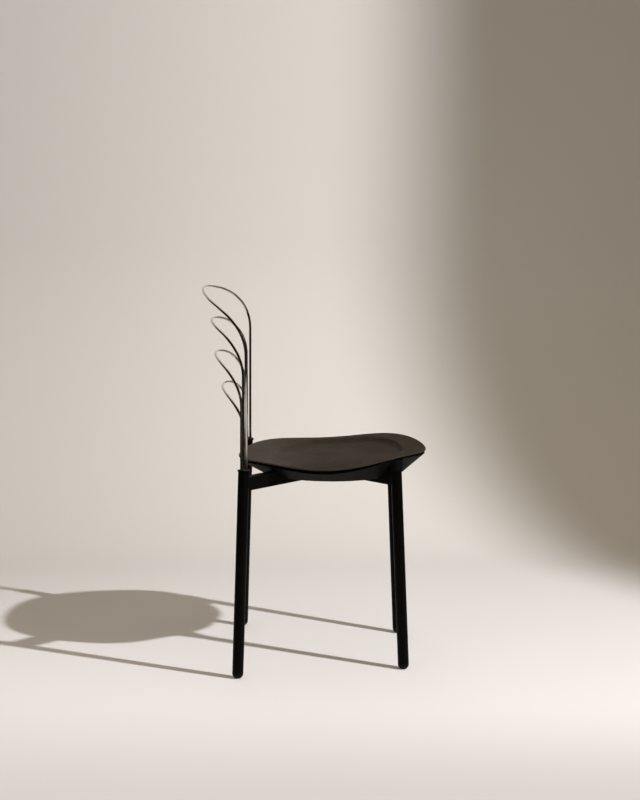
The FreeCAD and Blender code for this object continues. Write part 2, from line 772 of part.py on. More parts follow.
def hoop_path(hoop, hole):
    """Smooth wire path up from the left cap, over the crown and down into the right cap."""
    crown = size(hoop + "_crown")
    half_width = rear_top_side + size(hoop + "_spread")
    turn = math.radians(size(hoop + "_bend_angle"))
    profile = size(hoop + "_bend_radius") * turn + size(hoop + "_tail")
    base = profile - crown
    bottom = Vector(hole.x, hole.y, hole.z - size("wire_insertion"))
    free = Vector(hole.x, hole.y, hole.z + size("cap_flange_thickness") + size("wire_straight"))
    points = [free, rolled(hoop, hole, half_width, 0), rolled(hoop, hole, half_width, base)]
    directions = [UP, UP, rolled_direction(hoop, base, 0, 1)]
    for degrees in CROWN_ANGLES + (90.0,):
        angle = math.radians(degrees)
        length = base + crown * math.sin(angle)
        points.append(rolled(hoop, hole, half_width * math.cos(angle), length))
        directions.append(rolled_direction(hoop, length, -half_width * math.sin(angle),
                                           crown * math.cos(angle)))
    for point, direction in list(zip(points, directions))[-2::-1]:
        points.append(Vector(point.x, -point.y, point.z))
        directions.append(Vector(-direction.x, direction.y, -direction.z))
    edges = [Part.LineSegment(bottom, free).toShape()]
    for index in range(len(points) - 1):
        edges += tangent_arcs(points[index], directions[index],
                              points[index + 1], directions[index + 1])
    last = Vector(bottom.x, -bottom.y, bottom.z)
    edges.append(Part.LineSegment(Vector(free.x, -free.y, free.z), last).toShape())
    return Part.Wire(edges)


def back_hoop(hoop, hole):
    """Round wire swept along one hoop's path."""
    name = "back_hoop_" + hoop
    path = hoop_path(hoop, hole)
    spine = shape_feature(name + "_path", path)
    section = primitive("Part::Circle", name + "_section", Radius="Sizes.wire_diameter / 2")
    start = path.OrderedVertexes[0].Point
    section.Placement = FreeCAD.Placement(start, FreeCAD.Rotation())
    sweep = doc.addObject("Part::Sweep", name)
    sweep.Sections = [section]
    sweep.Spine = (spine, ["Edge%d" % (index + 1) for index in range(len(path.Edges))])
    sweep.Solid = True
    sweep.Frenet = False
    return sweep


pieces = []
for leg_name in LEGS:
    pieces.append(leg_tube(leg_name))
    pieces.append(leg_glide(leg_name))
pieces += crossed_frame()
for side_name, side_sign in (("left", 1), ("right", -1)):
    pieces.append(rear_cap(side_name, side_sign))
    pieces.append(front_pad(side_name, side_sign))
pieces.append(seat_shell())
pieces.append(mount_plate())
pieces.append(seat_screws())
pieces.append(seat_skirt())
for (hoop_name, ahead, side), hole_place in zip(HOOPS, hoop_holes(1)):
    pieces.append(back_hoop(hoop_name, hole_place))
doc.recompute()

for item in doc.Objects:
    if "Invalid" in item.State or "Error" in item.State:
        raise RuntimeError("%s didn't compute: %s" % (item.Name, item.State))
for piece in pieces:
    if piece.Shape.isNull() or not piece.Shape.isValid() or not piece.Shape.Solids:
        raise RuntimeError("%s has no valid solid" % piece.Label)

os.makedirs("parts", exist_ok=True)
for piece in pieces:
    piece.Shape.exportStep("parts/%s.step" % piece.Label)
    print("%-24s solids %d volume %.0f" % (piece.Label, len(piece.Shape.Solids), piece.Shape.Volume))
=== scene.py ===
"""Finishes, studio stage and camera for a round-seated dining chair with a back of wire hoops.

Metres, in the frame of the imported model: +X to the front of the seat, +Y to the sitter's left
and +Z up from the floor.
"""
import math

import bpy
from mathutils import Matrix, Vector


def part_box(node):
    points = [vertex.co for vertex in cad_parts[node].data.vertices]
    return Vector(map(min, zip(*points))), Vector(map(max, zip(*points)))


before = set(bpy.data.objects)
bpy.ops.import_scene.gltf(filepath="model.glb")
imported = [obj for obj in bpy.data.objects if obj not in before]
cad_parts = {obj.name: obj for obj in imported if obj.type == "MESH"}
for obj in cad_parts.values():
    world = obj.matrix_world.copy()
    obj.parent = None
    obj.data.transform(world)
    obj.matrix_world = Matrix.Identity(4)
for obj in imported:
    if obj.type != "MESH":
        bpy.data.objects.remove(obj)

bl_info = {
    "name": "Hoop-back chair",
    "version": (1, 0, 0),
    "blender": (4, 5, 0),
    "location": "3D View > Sidebar > Hoop Chair",
    "description": "Gives the hoop-back chair its finishes and sets it in a plain studio",
    "category": "Object",
}

PHOTO_WIDTH = 640
SENSOR_WIDTH = 36.0

SEAT_NODES = ("seat_shell",)
SKIRT_NODES = ("seat_skirt",)
TUBE_NODES = ("rear_leg_left", "rear_leg_right", "front_leg_left", "front_leg_right")
BAR_NODES = ("through_bar", "rear_half_bar", "front_half_bar", "mount_plate")
GLIDE_NODES = ("rear_glide_left", "rear_glide_right", "front_glide_left", "front_glide_right")
CAP_NODES = ("rear_cap_left", "rear_cap_right")
PAD_NODES = ("front_pad_left", "front_pad_right")
HOOP_NODES = ("back_hoop_tallest", "back_hoop_second", "back_hoop_third", "back_hoop_shortest")
SCREW_NODES = ("seat_screws",)

# Sockets of the Mix node that carry its factor and two colours, and its mixed colour
MIX_COLOUR_SOCKETS = (0, 6, 7)
MIX_COLOUR_RESULT = 2

# Places that come from the frame
SEAT_LOW, SEAT_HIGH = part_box("seat_shell")
SEAT_CENTRE_X = (SEAT_LOW[0] + SEAT_HIGH[0]) / 2
SEAT_RADIUS = (SEAT_HIGH[0] - SEAT_LOW[0]) / 2

# Noise over the surfaces: cycles a metre, detail and roughness
SEAT_MOTTLE = (34.0, 4.0, 0.6)
SEAT_SMEARS = (9.0, 3.0, 0.55)
PAINT_DUST = (60.0, 4.0, 0.65)
PLASTIC_CLOUD = (120.0, 3.0, 0.6)
PLASTIC_GRAIN = (1600.0, 2.0, 0.5)
SCUFF_SPECKS = (700.0, 4.0, 0.7)
CHROME_HAZE = (45.0, 3.0, 0.6)
CHROME_RIPPLE = (260.0, 2.0, 0.5)
COVE_CLOUD = (1.1, 3.0, 0.5)
COVE_GRAIN = (300.0, 2.0, 0.5)

# Detail and roughness of the noises whose size is a setting
SEAT_GRAIN = (3.0, 0.6)
PAINT_SKIN = (2.0, 0.5)

# Crystals of the zinc: cycles a metre, and the distance across one
ZINC_CRYSTALS = 1400.0
ZINC_CRYSTAL_REACH = (0.0, 0.8)

# Levels of a noise between which a finish goes from its first look to its second
MOTTLE_LEVELS = (0.35, 0.65)
SMEAR_LEVELS = (0.3, 0.7)
DUST_LEVELS = (0.45, 0.75)
CLOUD_LEVELS = (0.35, 0.7)
SPECK_LEVELS = (0.5, 0.62)
HAZE_LEVELS = (0.35, 0.75)

# Bumps: depth in metres and strength
SEAT_GRAIN_BUMP = (0.00012, 0.5)
PAINT_SKIN_BUMP = (0.00006, 0.6)
PLASTIC_GRAIN_BUMP = (0.00004, 0.6)
CHROME_RIPPLE_BUMP = (0.00003, 0.35)
COVE_GRAIN_BUMP = (0.0001, 0.15)

# What the second look has of the first one's colour
DUSTY_SHARE = 1.7
CLOUDY_SHARE = 1.5
HAZY_SHARE = 0.86
ZINC_SHARE = 0.8
COVE_CLOUD_SHARE = 0.985

# How far the roughness goes below and above its middle, and the zinc's lowest and highest
SEAT_SPREAD = (-0.05, 0.06)
PAINT_SPREAD = (-0.04, 0.05)
PLASTIC_SPREAD = (-0.05, 0.07)
CHROME_SPREAD = (0.0, 0.03)
ZINC_ROUGHNESS = (0.28, 0.42)

# Roughness of each painted or moulded piece
SKIRT_ROUGHNESS = 0.6
LEG_ROUGHNESS = 0.42
BAR_ROUGHNESS = 0.46
GLIDE_ROUGHNESS = 0.45
CAP_ROUGHNESS = 0.4
PAD_ROUGHNESS = 0.55

# Painted highlight: width and strength of the seat's paler rim edge, reach of its paler rear; wear:
# height of the scuffs
RIM_PAINTED_HIGHLIGHT_WIDTH = 0.004
RIM_PAINTED_HIGHLIGHT = 0.15
REAR_PAINTED_HIGHLIGHT_REACH = (-0.02, -0.19)
SCUFF_HEIGHT = 0.006

# Cove: faces round its curve, seams across the stage and along the floor, and its paint
COVE_STEPS = 24
COVE_SEAMS = (-2.0, 0.0, 2.0)
FLOOR_SEAMS = (-1.0, 0.0)
COVE_ROUGHNESS = 0.9
COVE_SPECULAR = 0.2

# Places in the frame between which the cove's painted shade turns, and past which it is painted
# near black for all but camera rays, so metal loses it
WALL_RISE = (-0.4, 2.0)
WALL_LEFT = (-1.1, 0.3)
FLOOR_NEAR = (-0.45, -1.15)
FLOOR_NEAR_SIDES = (-1.0, 0.6)
FLOOR_NEAR_LEFT_SHARE = 0.5
MIRRORED_NEAR = (-2.2, -1.2)
MIRRORED_ASIDE = (1.2, 1.9)

# Slopes of a ray towards the wall between which the room turns paler
FILL_TURN = (-0.9, 0.3)
MIRRORED_TURN = (0.45, 0.85)

# Key lamp: angle in degrees and blend of its cone, and the side and height that it aims at
KEY_CONE = 160
KEY_BLEND = 0.3
KEY_TARGET = (0.6, 0.4)


class NodeTree:
    """Short calls that add and join the nodes of one tree."""

    def __init__(self, tree):
        self.tree = tree

    def add(self, kind, **properties):
        """A node of a kind, with its properties set."""
        node = self.tree.nodes.new(kind)
        for name, value in properties.items():
            setattr(node, name, value)
        return node

    def join(self, output, target):
        """A link from one socket to another."""
        self.tree.links.new(output, target)

    def feed(self, value, target):
        """A link to a socket where the value is a socket, or else the value set on it."""
        if isinstance(value, bpy.types.NodeSocket):
            self.join(value, target)
        else:
            target.default_value = value


def new_material(name, specular=0.5):
    """A material with its node tree, which holds only its output and surface shader."""
    material = bpy.data.materials.new(name)
    material.use_nodes = True
    material.node_tree.nodes.clear()
    nodes = NodeTree(material.node_tree)
    surface = nodes.add("ShaderNodeBsdfPrincipled")
    surface.inputs["Specular IOR Level"].default_value = specular
    output = nodes.add("ShaderNodeOutputMaterial")
    nodes.join(surface.outputs["BSDF"], output.inputs["Surface"])
    return material, nodes, surface


def place_in_frame(nodes):
    """Each point's place in the frame, in metres."""
    return nodes.add("ShaderNodeTexCoord").outputs["Object"]


def axes(nodes, vector):
    """The three parts of a vector, by their letters."""
    node = nodes.add("ShaderNodeSeparateXYZ")
    nodes.join(vector, node.inputs["Vector"])
    return node.outputs


def noise(nodes, place, scale, detail, roughness):
    """A noise value over the surface. The scale is in cycles a metre."""
    node = nodes.add("ShaderNodeTexNoise")
    node.inputs["Scale"].default_value = scale
    node.inputs["Detail"].default_value = detail
    node.inputs["Roughness"].default_value = roughness
    nodes.join(place, node.inputs["Vector"])
    return node.outputs["Fac"]


def ranged(nodes, value, limits, results=(0, 1), smooth=False):
    """A value moved from one pair of limits to another, clamped at both ends."""
    node = nodes.add("ShaderNodeMapRange")
    node.interpolation_type = "SMOOTHSTEP" if smooth else "LINEAR"
    for name, number in zip(("From Min", "From Max", "To Min", "To Max"), (*limits, *results)):
        node.inputs[name].default_value = number
    nodes.join(value, node.inputs["Value"])
    return node.outputs["Result"]


def opaque(colour):
    """A colour socket as it is, or a colour of three channels with full cover."""
    if isinstance(colour, bpy.types.NodeSocket):
        return colour
    return (*colour[:3], 1.0)


def between(nodes, share, first, second):
    """A colour between two colours."""
    node = nodes.add("ShaderNodeMix", data_type="RGBA")
    factor, first_socket, second_socket = (node.inputs[index] for index in MIX_COLOUR_SOCKETS)
    nodes.join(share, factor)
    nodes.feed(opaque(first), first_socket)
    nodes.feed(opaque(second), second_socket)
    return node.outputs[MIX_COLOUR_RESULT]


def maths(nodes, operation, first, second=None):
    """The result of one operation on sockets or numbers."""
    node = nodes.add("ShaderNodeMath", operation=operation)
    nodes.feed(first, node.inputs[0])
    if second is not None:
        nodes.feed(second, node.inputs[1])
    return node.outputs["Value"]


def bump(nodes, height, distance, strength=1.0, normal=None):
    """A bump from a height value. The distance is in metres."""
    node = nodes.add("ShaderNodeBump")
    node.inputs["Strength"].default_value = strength
    node.inputs["Distance"].default_value = distance
    nodes.join(height, node.inputs["Height"])
    if normal is not None:
        nodes.join(normal, node.inputs["Normal"])
    return node.outputs["Normal"]


def roughen(nodes, surface, value, levels, middle, spread):
    """Joins a surface's roughness to a noise, which spreads it about its middle."""
    results = (middle + spread[0], middle + spread[1])
    nodes.join(ranged(nodes, value, levels, results), surface.inputs["Roughness"])


def shaded(colour, share):
    """A colour times a share."""
    return tuple(channel * share for channel in colour[:3])


def give(material, node_names):
    """Puts a material on every slot of the named nodes."""
    for name in node_names:
        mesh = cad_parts[name].data
        if not mesh.materials:
            mesh.materials.append(material)
        for index in range(len(mesh.materials)):
            mesh.materials[index] = material


def dish_step(nodes, along, side, settings):
    """Crisp step round the seat's dish: one outside its squarish round, nought on its floor."""
    powers = []
    for value, half in ((along, SEAT_RADIUS - settings.dish_length_inset),
                        (side, SEAT_RADIUS - settings.dish_width_inset)):
        share = maths(nodes, "DIVIDE", maths(nodes, "ABSOLUTE", value), half)
        powers.append(maths(nodes, "POWER", share, settings.dish_squareness))
    reach = maths(nodes, "POWER", maths(nodes, "ADD", *powers), 1.0 / settings.dish_squareness)
    half_step = settings.dish_step_width / 2 / (SEAT_RADIUS - settings.dish_length_inset)
    return ranged(nodes, reach, (1.0 - half_step, 1.0 + half_step), smooth=True)


def seat_finish(settings):
    """Dark moulded seat top: satin, faintly mottled and grained, with a painted highlight that
    makes its rim edge and rear paler.
    """
    material, nodes, surface = new_material("seat_satin", settings.seat_specular)
    place = place_in_frame(nodes)
    mottle = ranged(nodes, noise(nodes, place, *SEAT_MOTTLE), MOTTLE_LEVELS)
    colour = between(nodes, mottle, settings.seat_colour, settings.seat_second_colour)
    across = axes(nodes, place)
    ahead = maths(nodes, "SUBTRACT", across["X"], SEAT_CENTRE_X)
    squares = [maths(nodes, "POWER", maths(nodes, "ABSOLUTE", value), 2.0)
               for value in (ahead, across["Y"])]
    reach = maths(nodes, "SQRT", maths(nodes, "ADD", *squares))
    # Painted highlight: the rim's outer edge and the seat's rear turn towards a paler colour
    rim = ranged(nodes, reach, (SEAT_RADIUS - RIM_PAINTED_HIGHLIGHT_WIDTH, SEAT_RADIUS), (0, RIM_PAINTED_HIGHLIGHT))
    highlighted = ranged(nodes, ahead, REAR_PAINTED_HIGHLIGHT_REACH, (0, settings.seat_rear_painted_highlight), smooth=True)
    painted_highlight = between(nodes, maths(nodes, "MAXIMUM", rim, highlighted), colour,
                   settings.seat_painted_highlight_colour)
    nodes.join(painted_highlight, surface.inputs["Base Color"])
    smears = noise(nodes, place, *SEAT_SMEARS)
    roughen(nodes, surface, smears, SMEAR_LEVELS, settings.seat_roughness, SEAT_SPREAD)
    grain = noise(nodes, place, 1.0 / settings.seat_grain, *SEAT_GRAIN)
    step = dish_step(nodes, maths(nodes, "SUBTRACT", ahead, settings.dish_ahead),
                     across["Y"], settings)
    stepped = bump(nodes, step, settings.dish_step_depth)
    nodes.join(bump(nodes, grain, *SEAT_GRAIN_BUMP, stepped), surface.inputs["Normal"])
    return material


def paint_finish(settings, name, colour, roughness):
    """Powder coat: near black, with a fine orange-peel skin and faint dust."""
    material, nodes, surface = new_material(name, settings.paint_specular)
    place = place_in_frame(nodes)
    dust = noise(nodes, place, *PAINT_DUST)
    nodes.join(between(nodes, ranged(nodes, dust, DUST_LEVELS), colour,
                       shaded(colour, DUSTY_SHARE)), surface.inputs["Base Color"])
    roughen(nodes, surface, dust, SMEAR_LEVELS, roughness, PAINT_SPREAD)
    skin = noise(nodes, place, 1.0 / settings.paint_grain, *PAINT_SKIN)
    nodes.join(bump(nodes, skin, *PAINT_SKIN_BUMP), surface.inputs["Normal"])
    return material


def plastic_finish(settings, name, colour, roughness, specular, scuffed=False):
    """Moulded plastic or rubber: fine sparked grain, scuffed where it meets the floor."""
    material, nodes, surface = new_material(name, specular)
    place = place_in_frame(nodes)
    cloud = noise(nodes, place, *PLASTIC_CLOUD)
    base = between(nodes, ranged(nodes, cloud, CLOUD_LEVELS), colour,
                   shaded(colour, CLOUDY_SHARE))
    if scuffed:
        low = ranged(nodes, axes(nodes, place)["Z"], (0.0, SCUFF_HEIGHT), (1, 0), smooth=True)
        speck = ranged(nodes, noise(nodes, place, *SCUFF_SPECKS), SPECK_LEVELS)
        base = between(nodes, maths(nodes, "MULTIPLY", low, speck), base,
                       settings.scuff_colour)
    nodes.join(base, surface.inputs["Base Color"])
    roughen(nodes, surface, cloud, SMEAR_LEVELS, roughness, PLASTIC_SPREAD)
    grain = noise(nodes, place, *PLASTIC_GRAIN)
    nodes.join(bump(nodes, grain, *PLASTIC_GRAIN_BUMP), surface.inputs["Normal"])
    return material


def chrome_finish(settings):
    """Polished chrome plate with faint ripples and finger haze."""
    material, nodes, surface = new_material("hoop_chrome")
    place = place_in_frame(nodes)
    surface.inputs["Metallic"].default_value = 1.0
    haze = noise(nodes, place, *CHROME_HAZE)
    nodes.join(between(nodes, ranged(nodes, haze, CLOUD_LEVELS), settings.chrome_colour,
                       shaded(settings.chrome_colour, HAZY_SHARE)), surface.inputs["Base Color"])
    roughen(nodes, surface, haze, HAZE_LEVELS, settings.chrome_roughness, CHROME_SPREAD)
    ripple = noise(nodes, place, *CHROME_RIPPLE)
    nodes.join(bump(nodes, ripple, *CHROME_RIPPLE_BUMP), surface.inputs["Normal"])
    return material


def zinc_finish(settings):
    """Dull zinc plate on the screws, with small crystals."""
    material, nodes, surface = new_material("screw_zinc")
    surface.inputs["Metallic"].default_value = 1.0
    crystal = nodes.add("ShaderNodeTexVoronoi")
    crystal.inputs["Scale"].default_value = ZINC_CRYSTALS
    nodes.join(place_in_frame(nodes), crystal.inputs["Vector"])
    shade = ranged(nodes, crystal.outputs["Distance"], ZINC_CRYSTAL_REACH)
    nodes.join(between(nodes, shade, settings.zinc_colour,
                       shaded(settings.zinc_colour, ZINC_SHARE)), surface.inputs["Base Color"])
    nodes.join(ranged(nodes, shade, (0, 1), ZINC_ROUGHNESS), surface.inputs["Roughness"])
    return material


def studio_mesh(settings):
    """One sweep of floor that curves up into a wall behind the chair."""
    radius = settings.cove_radius
    start = settings.cove_start
    profile = [(y, 0.0) for y in (-settings.floor_reach, *FLOOR_SEAMS)]
    for step in range(COVE_STEPS + 1):
        angle = math.pi / 2 * step / COVE_STEPS
        profile.append((start + radius * math.sin(angle), radius * (1 - math.cos(angle))))
    profile.append((start + radius, settings.wall_height))
    columns = (-settings.floor_reach, *COVE_SEAMS, settings.floor_reach)
    vertices = [(x, y, z) for x in columns for y, z in profile]
    rows = len(profile)
    faces = []
    for column in range(len(columns) - 1):
        for row in range(rows - 1):
            first = column * rows + row
            faces.append((first, first + rows, first + rows + 1, first + 1))
    mesh = bpy.data.meshes.new("studio_cove")
    mesh.from_pydata(vertices, [], faces)
    for face in mesh.polygons:
        face.use_smooth = True
    mesh.update()
    return mesh


def cove_finish(settings):
    """Matt studio paint with painted shade for the lamp's falloff: it turns warmer and darker
    towards and up the wall, darker again to the left, and darker on the nearest floor.

    The metal's reflection of it ends with the lit set, short of the camera and at both sides: there
    the cove is painted near black for every ray but the camera's, as painted shade.
    The camera sees through the back of it.
    """
    material, nodes, surface = new_material("cove_paint", COVE_SPECULAR)
    place = place_in_frame(nodes)
    across = axes(nodes, place)
    cloud = noise(nodes, place, *COVE_CLOUD)
    floor = between(nodes, ranged(nodes, cloud, SMEAR_LEVELS), settings.floor_colour,
                    shaded(settings.floor_colour, COVE_CLOUD_SHARE))
    # Painted shade: the paint darkens towards and up the wall, to the wall's left and on the
    # nearest floor
    rise = ranged(nodes, across["Y"], WALL_RISE, smooth=True)
    wall = between(nodes, rise, floor, settings.wall_painted_shade_colour)
    left = ranged(nodes, across["X"], WALL_LEFT, (1, 0), smooth=True)
    walled = between(nodes, maths(nodes, "MULTIPLY", left, rise), wall,
                     shaded(settings.wall_painted_shade_colour, settings.wall_left_painted_shade))
    nearer = ranged(nodes, across["Y"], FLOOR_NEAR, smooth=True)
    sideways = ranged(nodes, across["X"], FLOOR_NEAR_SIDES, (FLOOR_NEAR_LEFT_SHARE, 1))
    painted = between(nodes, maths(nodes, "MULTIPLY", nearer, sideways), walled,
                      shaded(settings.floor_colour, settings.floor_near_painted_shade))
    # Painted shade: past the lit set every ray but the camera's finds the cove near black
    inward = ranged(nodes, across["Y"], MIRRORED_NEAR, smooth=True)
    aside = ranged(nodes, maths(nodes, "ABSOLUTE", across["X"]), MIRRORED_ASIDE, (1, 0),
                   smooth=True)
    seen = maths(nodes, "MAXIMUM", maths(nodes, "MULTIPLY", inward, aside),
                 nodes.add("ShaderNodeLightPath").outputs["Is Camera Ray"])
    nodes.join(between(nodes, seen, settings.room_mirror_colour, painted),
               surface.inputs["Base Color"])
    surface.inputs["Roughness"].default_value = COVE_ROUGHNESS
    grain = noise(nodes, place, *COVE_GRAIN)
    nodes.join(bump(nodes, grain, *COVE_GRAIN_BUMP), surface.inputs["Normal"])
    output = nodes.tree.nodes["Material Output"]
    clear = nodes.add("ShaderNodeBsdfTransparent").outputs[0]
    back = nodes.add("ShaderNodeNewGeometry").outputs["Backfacing"]
    nodes.join(mixed(nodes, back, surface.outputs["BSDF"], clear), output.inputs["Surface"])
    return material


def background(nodes, colour, strength=1.0):
    """A background shader of one colour or one colour socket."""
    node = nodes.add("ShaderNodeBackground")
    node.inputs["Strength"].default_value = strength
    nodes.feed(opaque(colour), node.inputs["Color"])
    return node.outputs[0]


def mixed(nodes, share, first, second):
    """A shader between two shaders."""
    node = nodes.add("ShaderNodeMixShader")
    for output, target in zip((share, first, second), node.inputs):
        nodes.join(output, target)
    return node.outputs[0]


def studio_world(settings):
    """Warm fill from the room, and pale where the camera looks.

    Metal mirrors that pale ground past the wall, and a dark room elsewhere.
    """
    world = bpy.data.worlds.new("studio_fill")
    bpy.context.scene.world = world
    world.use_nodes = True
    world.node_tree.nodes.clear()
    nodes = NodeTree(world.node_tree)
    slope = axes(nodes, nodes.add("ShaderNodeTexCoord").outputs["Generated"])["Y"]
    room = between(nodes, ranged(nodes, slope, FILL_TURN, smooth=True),
                   settings.room_dark_colour, settings.room_colour)
    fill = background(nodes, room, settings.room_strength)
    mirrored = background(nodes, between(nodes, ranged(nodes, slope, MIRRORED_TURN, smooth=True),
                                         settings.room_mirror_colour, settings.backdrop_colour))
    pale = background(nodes, settings.backdrop_colour)
    path = nodes.add("ShaderNodeLightPath").outputs
    unseen = mixed(nodes, path["Is Glossy Ray"], fill, mirrored)
    output = nodes.add("ShaderNodeOutputWorld")
    nodes.join(mixed(nodes, path["Is Camera Ray"], unseen, pale), output.inputs["Surface"])


def aimed(place, target):
    """Rotation of a lamp at a place that shines at a target."""
    return (Vector(target) - Vector(place)).to_track_quat("-Z", "Y").to_euler()


def key_lamp(settings):
    """The hard-edged lamp high in front of the seat, of even strength over the stage.

    A barn door on its right side leaves the wall's right part in shade.
    """
    data = bpy.data.lights.new("key_lamp", "SPOT")
    data.energy = settings.key_strength
    data.color = settings.key_colour
    data.shadow_soft_size = settings.key_size
    data.spot_size = math.radians(KEY_CONE)
    data.spot_blend = KEY_BLEND
    lamp = bpy.data.objects.new("key_lamp", data)
    place = (SEAT_CENTRE_X + settings.key_place[0], settings.key_place[1], settings.key_place[2])
    lamp.location = place
    lamp.rotation_euler = aimed(place, (SEAT_CENTRE_X, *KEY_TARGET))
    bpy.context.scene.collection.objects.link(lamp)
    data.use_nodes = True
    nodes = NodeTree(data.node_tree)
    emission = data.node_tree.nodes["Emission"]
    door = nodes.add("ShaderNodeVectorMath", operation="DOT_PRODUCT")
    nodes.join(nodes.add("ShaderNodeTexCoord").outputs["Normal"], door.inputs[0])
    turned = lamp.rotation_euler.to_matrix().inverted() @ Vector(settings.door_normal)
    door.inputs[1].default_value = tuple(turned)
    falloff = nodes.add("ShaderNodeLightFalloff")
    open_share = ranged(nodes, door.outputs["Value"], (settings.door_open, settings.door_shut),
                        (1, 0), smooth=True)
    nodes.join(open_share, falloff.inputs["Strength"])
    nodes.join(falloff.outputs["Constant"], emission.inputs["Strength"])


def camera(settings):
    """Camera at the photograph's viewing angle."""
    data = bpy.data.cameras.new("camera")
    data.sensor_fit = "HORIZONTAL"
    data.sensor_width = SENSOR_WIDTH
    data.lens = SENSOR_WIDTH * settings.camera_focal_pixels / PHOTO_WIDTH
    holder = bpy.data.objects.new("camera", data)
    holder.location = (SEAT_CENTRE_X + settings.camera_place[0], settings.camera_place[1],
                       settings.camera_place[2])
    holder.rotation_euler = (math.pi / 2 - settings.camera_tilt, 0.0, -settings.camera_turn)
    bpy.context.scene.collection.objects.link(holder)
    bpy.context.scene.camera = holder


def colour_setting(name, description, value):
    """A colour property."""
    return bpy.props.FloatVectorProperty(name=name, description=description, default=value,
                                         size=3, subtype="COLOR", min=0.0, max=1.0)


def length_setting(name, description, value):
    """A length property in metres."""
    return bpy.props.FloatProperty(name=name, description=description, default=value,
                                   min=0.0, unit="LENGTH", precision=5)


def share_setting(name, description, value):
    """A property that is a share from nought to one."""
    return bpy.props.FloatProperty(name=name, description=description, default=value,
                                   min=0.0, max=1.0, subtype="FACTOR")


class HoopChairFinishes(bpy.types.PropertyGroup):
    """Colours and grain of the chair's finishes."""
    seat_colour: colour_setting("Seat", "Main colour of the seat", (0.0285, 0.0238, 0.0172))
    seat_second_colour: colour_setting("Seat mottle", "Second colour of the seat's mottling",
                                       (0.0400, 0.0318, 0.0218))
    # Painted highlight: the paler colour laid on the seat's rim edge and rear
    seat_painted_highlight_colour: colour_setting("Seat painted highlight", "Colour of the seat where it is rubbed",
                                     (0.100, 0.087, 0.074))
    seat_roughness: share_setting("Seat roughness", "How rough the seat's satin is", 0.58)
    seat_specular: share_setting("Seat shine", "How strongly the seat mirrors", 0.03)
    # Painted highlight: how far the seat's rear turns to that paler colour
    seat_rear_painted_highlight: share_setting("Seat rear painted highlight", "How much paler the seat's rear is", 0.5)
    dish_length_inset: length_setting("Dish length inset", "From the rim to the dish's ends", 0.065)
    dish_width_inset: length_setting("Dish width inset", "From the rim to the dish's sides", 0.063)
    dish_ahead: length_setting("Dish ahead", "How far the dish lies ahead of the seat", 0.008)
    dish_squareness: bpy.props.FloatProperty(name="Dish squareness", default=2.5, min=2.0,
                                             description="How square the dish's round is")
    dish_step_width: length_setting("Dish step width", "Width of the dish's crisp step", 0.007)
    dish_step_depth: length_setting("Dish step depth", "Depth of the dish's crisp step", 0.002)
    seat_grain: length_setting("Seat grain", "Size of the seat's grain", 0.0016)
    skirt_colour: colour_setting("Skirt", "Colour of the ring under the seat",
                                 (0.0030, 0.0026, 0.0020))
    skirt_specular: share_setting("Skirt shine", "How strongly the skirt mirrors", 0.04)
    paint_colour: colour_setting("Paint", "Colour of the legs' powder coat",
                                 (0.0013, 0.0012, 0.0011))
    paint_specular: share_setting("Paint shine", "How strongly the powder coat mirrors", 0.05)
    bar_colour: colour_setting("Bar paint", "Colour of the bars' powder coat",
                               (0.0018, 0.0015, 0.0014))
    paint_grain: length_setting("Paint grain", "Size of the powder coat's skin", 0.0012)
    plastic_colour: colour_setting("Plastic", "Colour of the glides, caps and pads",
                                   (0.0018, 0.0016, 0.0013))
    plastic_specular: share_setting("Plastic shine", "How strongly the plastic mirrors", 0.08)
    scuff_colour: colour_setting("Scuffs", "Colour of the glides' scuffs", (0.12, 0.11, 0.10))
    chrome_colour: colour_setting("Chrome", "Colour of the hoops", (0.60, 0.565, 0.52))
    chrome_roughness: share_setting("Chrome roughness", "How rough the chrome is", 0.02)
    zinc_colour: colour_setting("Zinc", "Colour of the screws", (0.5, 0.49, 0.46))


